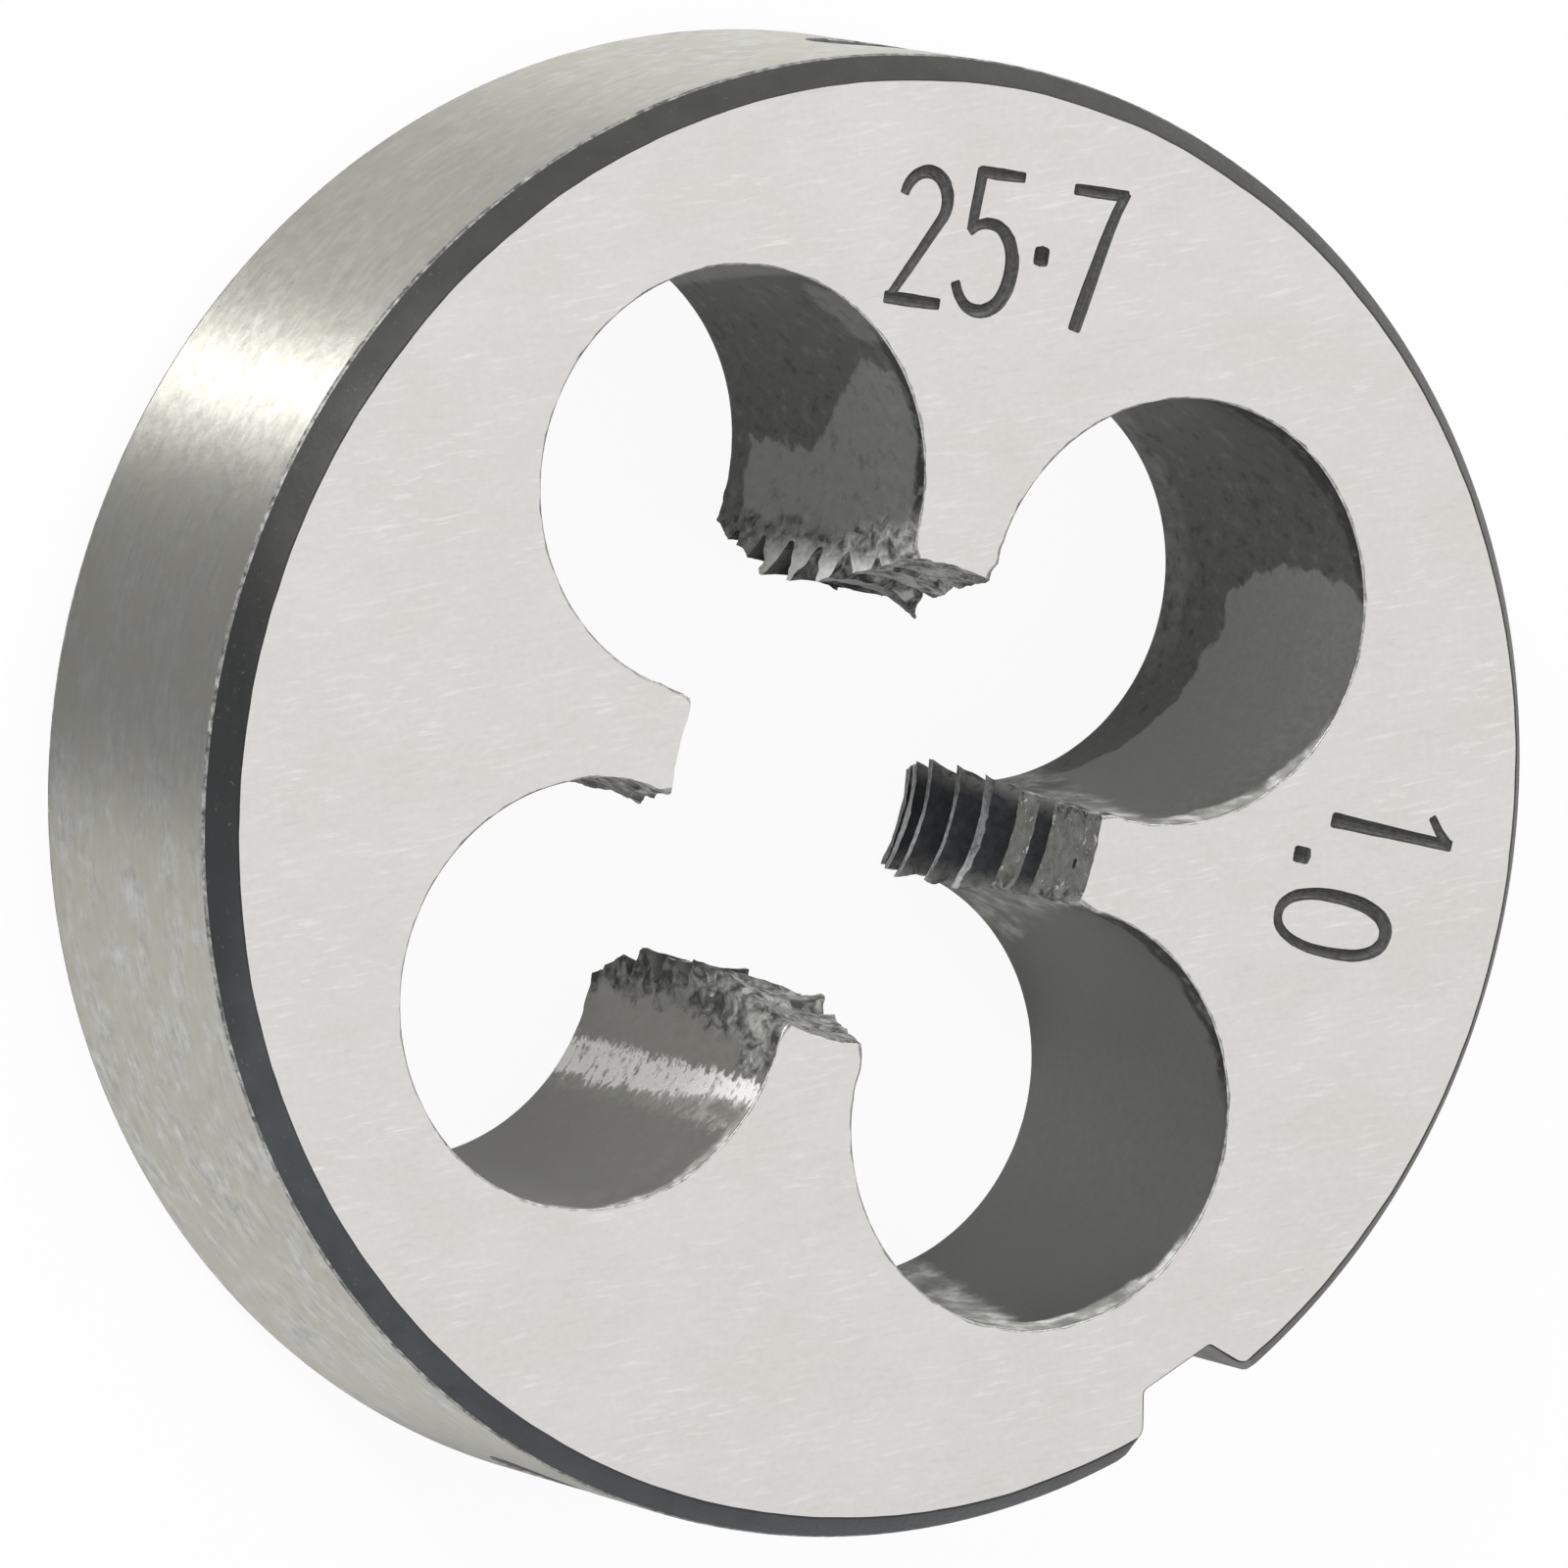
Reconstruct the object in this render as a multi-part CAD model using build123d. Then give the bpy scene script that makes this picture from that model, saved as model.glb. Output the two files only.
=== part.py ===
from build123d import *
import math
import os

# A round threading die: one hardened steel disc, turned, drilled, threaded and ground.
# It lies on its back face. The origin is the centre of that face, and +Z is the die's
# axis, towards the face that carries the size marks and the longer cutting lead.
# The first land is centred on +X. Sizes are in millimetres and degrees.

# Disc
outer_diameter = 25.0
thickness = 7.0
rim_chamfer_width = 0.38        # across each face
rim_chamfer_height = 0.55       # down the rim

# Thread, metric fine, right hand
thread_diameter = 8.0
thread_pitch = 1.0
thread_angle = 60.0             # between the flanks of a groove
thread_crest_height = 0.13      # a crest's height above the back face, in the first land's middle

# Cutting leads: a cone at each mouth of the thread, in which its crests fade out
lead_mouth_diameter = 8.2
front_lead_depth = 3.0
back_lead_depth = 1.8

# Chip holes, which part the thread into lands
chip_hole_count = 4
chip_hole_diameter = 7.2
chip_hole_circle_diameter = 12.5

# V slot in the rim, for the pointed screw of a die stock
slot_angle = -43.7              # from the first land
slot_depth = 1.1
slot_floor_width = 1.44
slot_flank_angle = 60.0         # between its two walls
slot_lip_radius = 0.2

# Conical seats in the rim, for the other screws of a die stock
near_seat_angle = 50.8          # each side of the slot
far_seat_angle = 144.2          # from the slot, one side only
seat_mouth_diameter = 2.2
seat_cone_angle = 90.0
seat_height = thickness / 2     # above the back face

# Every cut runs this far past the face that it opens through
overrun = 1.0

# Radii of the disc and of the thread form. The crests are cut flat, as high as the root
# of the screw that they cut.
rim_radius = outer_diameter / 2
sharp_v_height = thread_pitch / 2 / math.tan(math.radians(thread_angle / 2))
root_radius = thread_diameter / 2
root_flat = thread_pitch / 8
crest_radius = root_radius - 17 / 24 * sharp_v_height

# Angle from one land to the next, and the part of it that a groove is cut over
land_step = 360 / chip_hole_count
groove_arc = 0.6 * land_step


def revolved(outline):
    """A closed outline of radius and height, turned about the die's axis.

    The turn starts half way between two lands, so its seam is cut away by a chip hole.
    """
    half_section = make_face(Polyline(*outline, close=True))
    return Rot(0, 0, land_step / 2) * revolve(Plane.XZ * half_section, Axis.Z)


def blank():
    """The turned disc, chamfered round both faces."""
    face_radius = rim_radius - rim_chamfer_width
    return revolved([
        (0, 0),
        (face_radius, 0),
        (rim_radius, rim_chamfer_height),
        (rim_radius, thickness - rim_chamfer_height),
        (face_radius, thickness),
        (0, thickness),
    ])


def slotted_prism():
    """The disc's plan as a prism, less the V slot with its rounded lips."""
    floor = rim_radius - slot_depth
    outside = rim_radius + overrun
    half_floor = slot_floor_width / 2
    half_outside = half_floor + (outside - floor) * math.tan(math.radians(slot_flank_angle / 2))
    corners = [
        (floor, -half_floor),
        (outside, -half_outside),
        (outside, half_outside),
        (floor, half_floor),
    ]
    plan = Circle(rim_radius) - make_face(Polyline(*corners, close=True))
    lips = [v for v in plan.vertices() if v.X > floor and abs(v.Y) > half_floor]
    plan = fillet(lips, slot_lip_radius)
    return Rot(0, 0, slot_angle) * extrude(plan, thickness)


def chip_holes():
    """Round holes through the disc, each half way between two lands."""
    hole = Cylinder(
        chip_hole_diameter / 2,
        thickness + 2 * overrun,
        align=(Align.CENTER, Align.CENTER, Align.MIN),
    )
    places = PolarLocations(chip_hole_circle_diameter / 2, chip_hole_count, land_step / 2)
    return [place * Pos(0, 0, -overrun) * hole for place in places]


def bore():
    """The hole inside the thread's crests, with a lead cone at each mouth."""
    mouth_radius = lead_mouth_diameter / 2
    lead_width = mouth_radius - crest_radius
    return revolved([
        (0, -overrun),
        (mouth_radius + overrun * lead_width / back_lead_depth, -overrun),
        (crest_radius, back_lead_depth),
        (crest_radius, thickness - front_lead_depth),
        (mouth_radius + overrun * lead_width / front_lead_depth, thickness + overrun),
        (0, thickness + overrun),
    ])


def groove_length():
    """One length of thread groove, long enough to cross a land, starting on the X axis."""
    inner_radius = crest_radius - sharp_v_height / 8
    half_root = root_flat / 2
    half_mouth = half_root + (root_radius - inner_radius) * math.tan(math.radians(thread_angle / 2))
    corners = [
        (root_radius, -half_root),
        (root_radius, half_root),
        (inner_radius, half_mouth),
        (inner_radius, -half_mouth),
    ]
    section = Plane.XZ * make_face(Polyline(*corners, close=True))
    path = Helix(thread_pitch, thread_pitch * groove_arc / 360, root_radius)
    return sweep(section, path=path, is_frenet=True)


def thread_grooves():
    """The grooves on every land. They all lie on one right-hand helix."""
    length = groove_length()
    turns = math.ceil(thickness / thread_pitch) + 1
    grooves = []
    for land in range(chip_hole_count):
        start_angle = land * land_step - groove_arc / 2
        for turn in range(-1, turns):
            rise = (turn - 0.5 + start_angle / 360) * thread_pitch
            place = Pos(0, 0, thread_crest_height + rise) * Rot(0, 0, start_angle)
            grooves.append(place * length)
    return grooves


def screw_seats():
    """Conical seats in the rim: a pair beside the slot, and one on the far side."""
    half_angle = math.radians(seat_cone_angle / 2)
    depth = seat_mouth_diameter / 2 / math.tan(half_angle)
    length = depth + overrun
    cone = Cone(
        0,
        length * math.tan(half_angle),
        length,
        align=(Align.CENTER, Align.CENTER, Align.MIN),
    )
    pointing_out = Pos(rim_radius - depth, 0, seat_height) * Rot(0, 90, 0)
    offsets = [near_seat_angle, -near_seat_angle, far_seat_angle]
    return [Rot(0, 0, slot_angle + offset) * pointing_out * cone for offset in offsets]


def die():
    body = blank() & slotted_prism()
    body -= bore()
    body -= chip_holes()
    body -= thread_grooves()
    body -= screw_seats()
    return body


os.makedirs("parts", exist_ok=True)
export_step(die(), "parts/die_body.step")
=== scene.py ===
import math
from functools import reduce

import bmesh
import bpy
from mathutils import Matrix, Vector, noise


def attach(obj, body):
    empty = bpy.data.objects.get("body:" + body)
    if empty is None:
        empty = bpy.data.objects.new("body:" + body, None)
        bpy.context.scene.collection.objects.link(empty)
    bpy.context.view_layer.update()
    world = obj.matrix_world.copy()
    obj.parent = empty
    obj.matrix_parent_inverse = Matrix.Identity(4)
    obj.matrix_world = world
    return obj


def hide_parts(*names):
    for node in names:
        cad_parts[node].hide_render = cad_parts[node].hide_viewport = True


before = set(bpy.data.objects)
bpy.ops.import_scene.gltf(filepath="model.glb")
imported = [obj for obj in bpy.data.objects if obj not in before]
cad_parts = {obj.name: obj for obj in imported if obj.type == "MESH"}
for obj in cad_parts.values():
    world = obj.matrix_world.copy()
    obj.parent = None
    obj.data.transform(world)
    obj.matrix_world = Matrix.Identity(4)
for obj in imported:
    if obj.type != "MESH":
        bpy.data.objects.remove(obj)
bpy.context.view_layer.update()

# A round threading die, lying on its back face. Lengths are in millimetres and angles in
# degrees, in the frame of the solid: +Z is the axis and +X passes through the first land.
MM = 0.001

# Disc
RIM_RADIUS = 12.5
THICKNESS = 7.0
CHAMFER_WIDTH = 0.38
CHAMFER_HEIGHT = 0.55
EDGE_ROUND = 0.05
EDGE_WANDER = 0.018
ROUND_STEPS = 4                 # in every small round
RIM_STEPS = 480
OVERRUN = 1.0                   # of the cutters past the faces

# Thread and its leads
CREST_RADIUS = 3.387
ROOT_RADIUS = 4.0
PITCH = 1.0
THREAD_ANGLE = 60.0
ROOT_FLAT = PITCH / 8
CREST_HEIGHT = 0.13
CREST_FLAT = PITCH / 8
MOUTH_RADIUS = 4.1
FRONT_LEAD = 3.0
BACK_LEAD = 1.8
THREAD_STEP = 1.25              # degrees
BORE_RISE = 0.09
GROOVE_INSIDE = 0.19            # how far its cutter reaches inside the crests
GROOVE_START = -540.0           # degrees, below the back face
GROOVE_EXTRA = 1.6              # turns more than the thickness holds

# Where the groove is closed up, and over how many degrees at each end
CLOSED_FROM = 189.0
CLOSED_TO = 204.0
CLOSED_EASE = 4.0

# Heights between which the crests are bare and bright
BARE_FROM = 0.6
BARE_TO = 4.6

# Ends of teeth, as (angle, height): broken off, only worn, and with a burr left standing
BROKEN_TEETH = ((73, 2.35), (73, 3.35), (107, 1.41), (163, 3.58), (-107, 2.85), (-73, 2.91), (-73, 3.91))
WORN_TEETH = ((-107, 1.83), (-107, 3.84))
BURRS = ((73, 4.4), (-73, 5.0))
BROKEN_DEPTH = 0.21
WORN_DEPTH = 0.14
BURR_HEIGHT = 0.13
TOOTH_REACH = 0.42

# Chip holes, each half way between two lands
HOLE_COUNT = 4
LAND_STEP = 360 / HOLE_COUNT
HOLE_RADIUS = 3.6
HOLE_CIRCLE_RADIUS = 6.25
HOLE_OFFSET = HOLE_CIRCLE_RADIUS * math.sqrt(0.5)    # of its centre in x and y
HOLE_STEP = 2.5                 # degrees
HOLE_FINE_STEP = 1.25
HOLE_FINE_ARC = 170.0           # on the side of the thread
HOLE_RISE = 0.14
MOUTH_ROUND = 0.035

# Radii between which the tearing of the holes' walls fades out
TORN_RADIUS = 4.3
CLEAN_RADIUS = 5.3

# Wear on the lands' upright edges, and metal left standing at (radius, angle, height, size)
LAND_HALF_ANGLE = 11.9
CORNER_REACH = 0.22
BLUNT_EDGE = 0.1
BLUNT_REACH = 0.16
ROUNDED_CORNER = 168.0
ROUNDED_DEPTH = 0.15
ROUNDED_REACH = 0.2
PUSHED_METAL = ((3.58, 196.7, 4.85, 0.22), (3.85, 194.5, 5.75, 0.19), (4.05, 192.5, 6.75, 0.14))
PUSHED_REACH = 0.5

# Slot
SLOT_ANGLE = -43.7
SLOT_DEPTH = 1.1
SLOT_FLOOR = 1.44
SLOT_FLANK = 60.0
SLOT_LIP = 0.2
SLOT_CORNER = 0.07
SLOT_EDGE = 0.02
SLOT_WORN_LIP = 0.1

# Screw seats
SEAT_OFFSETS = (50.8, -50.8, 144.2)
SEAT_RADIUS = 1.1
SEAT_HEIGHT = THICKNESS / 2

# Engraved numbers: the foot of each, the upper row's measured along and up from its start
ENGRAVED_DEPTH = 0.09
ENGRAVED_WIDTH = 0.19
TOP_NUMBERS_START = (-2.6, 8.02)
TOP_NUMBERS_UP = 97.5
FIVE_ALONG = 1.36
DOT_ALONG = 2.86
DOT_UP = 1.1
SEVEN_ALONG = 3.3
SIDE_NUMBERS_UP = 3.0
ONE_FOOT = (8.42, 2.28)
SIDE_DOT = (7.98, 1.06)
ZERO_FOOT = (7.7, 0.56)

# Edges sharper than this stay sharp in the shading
SHARP_ANGLE = 28.0

# Surroundings, dim on one side: where the dimness starts, and where it is full
DIM_SIDE = (-0.999, 0.017, 0.03)
DIM_FROM = 0.79
DIM_FULL = 0.94
SKY_STRENGTH = 0.55

# Floor, and how white it looks, seen and mirrored
FLOOR_REACH = 0.6               # metres from its middle to each side
FLOOR_GAP = 0.01                # below the die's back face
FLOOR_GLOW = 0.94
MIRRORED_GLOW = 0.3

# Lamps, as azimuth and elevation, then distance, width and height in metres, and watts
LAMPS = {
    "strip": (151.5, 25, 0.5, 0.05, 0.26, 1.8),
    "left_box": (76, 24, 0.5, 0.52, 0.24, 1.45),
    "back_box": (122, 24, 0.5, 0.26, 0.24, 0.25),
    "right_box": (243, 24, 0.5, 0.82, 0.24, 1.7),
    "overhead": (20, 66, 0.6, 0.5, 0.5, 0.49),
}

# Camera: its place in millimetres, its axes and its lens
CAMERA_PLACE = (-152.38, -7.95, 284.60)
CAMERA_RIGHT = (0.84546, 0.26211, 0.46530)
CAMERA_UP = (-0.24182, 0.96472, -0.10406)
CAMERA_BACK = (-0.47616, -0.02455, 0.87902)
CAMERA_LENS = 434.66

FINISHES = (
    "ground_face",
    "ground_rim",
    "black_chamfer",
    "bright_edge",
    "mouth_edge",
    "hole_wall",
    "thread_flank",
    "thread_crest",
    "lead_cone",
    "engraved",
    "slot_wall",
    "seat",
)
INDEX = {finish: number for number, finish in enumerate(FINISHES)}


# Shapes


def polar(radius, degrees, z=0.0):
    a = math.radians(degrees)
    return Vector((radius * math.cos(a), radius * math.sin(a), z))


def turned(point, degrees):
    return Matrix.Rotation(math.radians(degrees), 3, "Z") @ Vector(point)


def ripple(point, size, seed):
    """Smooth noise from -1 to 1, whose bumps are about that size across."""
    return noise.noise(Vector(point) / size + Vector((seed, seed * 1.7, seed * 0.6)))


def smooth(x, low, high):
    """A smooth step from 0 at low to 1 at high."""
    t = min(1.0, max(0.0, (x - low) / (high - low)))
    return t * t * (3 - 2 * t)


def fade(distance, reach):
    """1 at a place, falling to almost 0 at twice the reach from it."""
    return math.exp(-((distance / reach) ** 2))


def skin(name, rings, bands, cap="ground_face", closed=False):
    """A closed solid through a row of rings, each with the same number of points.

    bands names the finish of the faces between each ring and the next, or one for all.
    """
    bm = bmesh.new()
    rows = [[bm.verts.new(p) for p in ring] for ring in rings]
    count = len(rings[0])
    steps = len(rows) if closed else len(rows) - 1
    for i in range(steps):
        low, high = rows[i], rows[(i + 1) % len(rows)]
        finish = bands if isinstance(bands, str) else bands[i]
        for j in range(count):
            k = (j + 1) % count
            face = bm.faces.new((low[j], low[k], high[k], high[j]))
            face.material_index = INDEX[finish]
    if not closed:
        for row in (rows[0], rows[-1]):
            bm.faces.new(row).material_index = INDEX[cap]
    bmesh.ops.recalc_face_normals(bm, faces=bm.faces)
    mesh = bpy.data.meshes.new(name)
    bm.to_mesh(mesh)
    bm.free()
    for finish in FINISHES:
        mesh.materials.append(bpy.data.materials[finish])
    solid = bpy.data.objects.new(name, mesh)
    bpy.context.collection.objects.link(solid)
    return solid


def eased(a, corner, b, size):
    """Points of a small round in place of a corner."""
    a, corner, b = Vector(a), Vector(corner), Vector(b)
    start = corner + (a - corner).normalized() * size
    end = corner + (b - corner).normalized() * size
    points = []
    for i in range(ROUND_STEPS + 1):
        t = i / ROUND_STEPS
        points.append(start * (1 - t) ** 2 + corner * 2 * t * (1 - t) + end * t * t)
    return points


def disc():
    """The turned disc, with its chamfers and their worn edges."""
    face = RIM_RADIUS - CHAMFER_WIDTH
    corners = [(0, 0), (face, 0), (RIM_RADIUS, CHAMFER_HEIGHT)]
    corners += [(RIM_RADIUS, THICKNESS - CHAMFER_HEIGHT), (face, THICKNESS), (0, THICKNESS)]
    profile, bands = [], []
    between = ["black_chamfer", "ground_rim", "black_chamfer"]
    for i in range(1, 5):
        on_rim = i in (2, 3)
        finish = "bright_edge" if on_rim else "black_chamfer"
        size = EDGE_ROUND if on_rim else EDGE_ROUND * 0.6
        points = eased(corners[i - 1], corners[i], corners[i + 1], size)
        profile += points
        bands += [finish] * (len(points) - 1)
        if i < 4:
            bands.append(between[i - 1])
    rings = []
    for r, z in profile:
        wander = EDGE_WANDER if r < face + 0.1 else 0.0
        ring = []
        for j in range(RIM_STEPS):
            spot = polar(face, 360 * j / RIM_STEPS, z)
            uneven = ripple(spot, 1.6, 2.0) + 0.6 * ripple(spot, 0.4, 6.0)
            ring.append(polar(r + wander * uneven, 360 * j / RIM_STEPS, z))
        rings.append(ring)
    return skin("threading_die", rings, bands)


def hole_turns(angle):
    """Directions round a chip hole, closer together on the side of the thread."""
    turns, turn = [], 0.0
    while turn < 359.9:
        turns.append(angle + turn)
        turn += HOLE_FINE_STEP if abs(turn - 180) < HOLE_FINE_ARC / 2 else HOLE_STEP
    return turns


def corner_wear(spot):
    """1 at a land's corner, where the hole meets the lead's mouth, falling to 0 around it."""
    angle = math.degrees(math.atan2(spot.y, spot.x))
    off_land = abs((angle + LAND_STEP / 2) % LAND_STEP - LAND_STEP / 2)
    arc = math.radians(off_land - LAND_HALF_ANGLE) * MOUTH_RADIUS
    away = math.hypot(arc, math.hypot(spot.x, spot.y) - MOUTH_RADIUS)
    return fade(away, CORNER_REACH)


def torn_wall(spot):
    """How far the wall is torn at a point: nothing far from the thread."""
    near = 1 - smooth(math.hypot(spot.x, spot.y), TORN_RADIUS, CLEAN_RADIUS)
    if near <= 0:
        return 0.0
    flutes = ripple((spot.x * 2.2, spot.y * 2.2, spot.z), 0.45, 7.0)
    lumps = ripple(spot, 0.3, 1.0) * 0.045 + ripple(spot, 0.13, 8.0) * 0.022
    return near * (0.045 * flutes + lumps)


def blunt_corner(spot):
    """How far a land's upright edges are worn back, less the metal left standing there."""
    beyond = math.hypot(spot.x, spot.y) - lead_radius(spot.z)
    worn = BLUNT_EDGE * smooth(spot.z, 4.0, 5.2) * fade(beyond, BLUNT_REACH)
    corner = (spot.xy - polar(MOUTH_RADIUS, ROUNDED_CORNER).xy).length
    worn += ROUNDED_DEPTH * 0.6 * fade(corner, ROUNDED_REACH)
    worn += ROUNDED_DEPTH * 1.6 * (1 - smooth(spot.z, 5.0, 6.6)) * fade(corner, 0.5)
    return worn - sum(size * near for size, near in pushed_metal(spot))


def pushed_metal(spot):
    """Each place of pushed metal as its size, and 1 at the place, falling to 0 around it."""
    places = []
    for radius, angle, height, size in PUSHED_METAL:
        away = (spot - polar(radius, angle, height)).length
        places.append((size, fade(away, PUSHED_REACH)))
    return places


def hole_levels():
    """(height, flare, finish above it) from under the die to over it."""
    levels = [(-OVERRUN, 1.0, "mouth_edge")]
    turns = [math.radians(90 * i / ROUND_STEPS) for i in range(ROUND_STEPS + 1)]
    for a in turns:
        levels.append((MOUTH_ROUND * (1 - math.cos(a)), 1 - math.sin(a), "mouth_edge"))
    count = int((THICKNESS - 2 * MOUTH_ROUND) / HOLE_RISE)
    rise = (THICKNESS - 2 * MOUTH_ROUND) / count
    levels[-1] = (MOUTH_ROUND, 0.0, "hole_wall")
    for i in range(1, count):
        levels.append((MOUTH_ROUND + i * rise, 0.0, "hole_wall"))
    for a in reversed(turns):
        z = THICKNESS - MOUTH_ROUND * (1 - math.cos(a))
        levels.append((z, 1 - math.sin(a), "mouth_edge"))
    levels.append((THICKNESS + OVERRUN, 1.0, "mouth_edge"))
    return levels


def hole_cutter(angle):
    """One chip hole: an uneven round at each mouth, and a torn wall next to the thread."""
    centre = polar(HOLE_CIRCLE_RADIUS, angle)
    turns = hole_turns(angle)
    levels = hole_levels()
    rings = []
    for z, flare, _ in levels:
        ring = []
        for turn in turns:
            spot = centre + polar(HOLE_RADIUS, turn, z)
            wear = 1.0 + 0.9 * ripple(spot, 0.35, angle) + 0.5 * ripple(spot, 0.12, angle)
            round_off = max(0.15, wear) + 1.4 * corner_wear(spot)
            torn = torn_wall(spot) * (1 - max(near for _, near in pushed_metal(spot)))
            radius = HOLE_RADIUS + MOUTH_ROUND * round_off * flare + torn + blunt_corner(spot)
            ring.append(centre + polar(radius, turn, z))
        rings.append(ring)
    bands = [finish for _, _, finish in levels[:-1]]
    return skin("hole_cutter", rings, bands, cap="hole_wall")


def lead_radius(z):
    """The bore's radius inside the crests, with its two lead cones."""
    front = z - (THICKNESS - FRONT_LEAD)
    back = BACK_LEAD - z
    width = MOUTH_RADIUS - CREST_RADIUS
    return CREST_RADIUS + width * max(0.0, front / FRONT_LEAD, back / BACK_LEAD)


def tooth_wear(spot):
    """How much of the crests is missing at a point, next to the marked teeth."""
    missing = 0.0
    for places, depth in (
        (BROKEN_TEETH, BROKEN_DEPTH),
        (WORN_TEETH, WORN_DEPTH),
        (BURRS, -BURR_HEIGHT),
    ):
        for angle, z in places:
            away = (spot - polar(CREST_RADIUS, angle, z)).length
            missing += depth * fade(away, TOOTH_REACH)
    corner = (spot.xy - polar(CREST_RADIUS, ROUNDED_CORNER).xy).length
    return missing + ROUNDED_DEPTH * smooth(spot.z, 4.5, 6.0) * fade(corner, ROUNDED_REACH)


def bore_cutter():
    """The hole inside the thread's crests. Its cones are torn, as a hard tap leaves them."""
    count = int(360 / THREAD_STEP)
    rises = round((THICKNESS + 2 * OVERRUN) / BORE_RISE)
    levels = [BORE_RISE * i - OVERRUN for i in range(rises + 1)]
    rings, bands = [], []
    for z in levels:
        ring = []
        torn = 0.012 if BACK_LEAD < z < THICKNESS - FRONT_LEAD else 0.03
        for j in range(count):
            spot = polar(CREST_RADIUS, j * THREAD_STEP, z)
            tear = ripple(spot, 0.22, 3.0) + 0.6 * ripple(spot, 0.1, 5.0)
            radius = lead_radius(z) + torn * tear + tooth_wear(spot)
            ring.append(polar(radius, j * THREAD_STEP, z))
        rings.append(ring)
    for z in levels[:-1]:
        bands.append("thread_crest" if BARE_FROM < z < BARE_TO else "lead_cone")
    return skin("bore_cutter", rings, bands, cap="lead_cone")


def groove_cutter():
    """The thread's groove along its whole right-hand helix.

    At one end of the far land it is closed up with torn metal.
    """
    half_root = ROOT_FLAT / 2
    inner = CREST_RADIUS - GROOVE_INSIDE
    half_crest = PITCH / 2 - CREST_FLAT / 2
    slope = math.tan(math.radians(THREAD_ANGLE / 2))
    side = [(inner, half_crest + 0.02), (CREST_RADIUS, half_crest)]
    for rise, ease in ((0.025, 0.014), (0.08, 0.0), (0.33, 0.0)):
        r = CREST_RADIUS + rise
        side.append((r, half_root + (ROOT_RADIUS - r) * slope + ease))
    side += [(ROOT_RADIUS - 0.02, half_root + 0.012), (ROOT_RADIUS, half_root * 0.6)]
    section = [(r, -dz) for r, dz in side] + [(r, dz) for r, dz in reversed(side)]
    turns = THICKNESS / PITCH + GROOVE_EXTRA
    count = int(turns * 360 / THREAD_STEP)
    rings = []
    for i in range(count + 1):
        turn = GROOVE_START + i * THREAD_STEP
        z = CREST_HEIGHT + PITCH * (0.5 + turn / 360)
        way = turn % 360
        filled = smooth(way, CLOSED_FROM, CLOSED_FROM + CLOSED_EASE)
        filled *= 1 - smooth(way, CLOSED_TO - CLOSED_EASE, CLOSED_TO)
        ring = []
        for r, dz in section:
            r -= max(0.0, r - inner - 0.05) * filled
            spot = polar(r, turn, z + dz)
            tear = ripple(spot, 0.25, 9.0) + 0.6 * ripple(spot, 0.11, 2.0)
            rise = 0.006 if r < CREST_RADIUS + 0.01 else 0.016
            ring.append(polar(r + 0.008 * tear, turn, z + dz + rise * tear))
        rings.append(ring)
    return skin("groove_cutter", rings, "thread_flank", cap="thread_flank")


def slot_outline(grow, z):
    """The V slot's outline at a height, grown a little. Its lips are blunter at the faces."""
    floor = RIM_RADIUS - SLOT_DEPTH - grow
    half = SLOT_FLOOR / 2 + grow
    slope = math.radians(SLOT_FLANK / 2)
    past_rim = abs(z - THICKNESS / 2) - THICKNESS / 2 + CHAMFER_HEIGHT
    into = min(1.0, max(0.0, past_rim) / CHAMFER_HEIGHT)
    rim = RIM_RADIUS - CHAMFER_WIDTH * into
    lip = SLOT_LIP + SLOT_WORN_LIP * into
    # The centre of a lip's round, which touches the slot's wall and the rim
    k = math.tan(slope)
    rise = half - floor * k + lip / math.cos(slope)
    a, b, c = 1 + k * k, 2 * k * rise, rise * rise - (rim - lip) ** 2
    cx = (-b + math.sqrt(b * b - 4 * a * c)) / (2 * a)
    cy = k * cx + rise
    first, last = -90.0 + SLOT_FLANK / 2, math.degrees(math.atan2(cy, cx)) - 8.0
    lips = []
    for i in range(9):
        turn = math.radians(first + (last - first) * i / 8)
        lips.append((cx + lip * math.cos(turn), cy + lip * math.sin(turn)))
    corner = eased((floor, 0, 0), (floor, half, 0), (*lips[0], 0), SLOT_CORNER)
    side = [(p.x, p.y) for p in corner] + lips
    turn = math.radians(last)
    side.append((side[-1][0] - math.sin(turn), side[-1][1] + math.cos(turn)))
    side.append((RIM_RADIUS + 2.0, side[-1][1]))
    return [(x, -y) for x, y in reversed(side)] + side


def slot_cutter():
    grown = [(-OVERRUN, 1.0), (0.0, 1.0), (0.13 * SLOT_EDGE, 0.5), (0.5 * SLOT_EDGE, 0.13)]
    grown.append((SLOT_EDGE, 0.0))
    grown += [(0.15 * (i + 1), 0.0) for i in range(6)]
    levels = grown + [(THICKNESS - z, g) for z, g in reversed(grown)]
    rings = []
    for z, flare in levels:
        outline = slot_outline(SLOT_EDGE * flare, z)
        rings.append([turned((x, y, z), SLOT_ANGLE) for x, y in outline])
    return skin("slot_cutter", rings, "slot_wall", cap="slot_wall")


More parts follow.
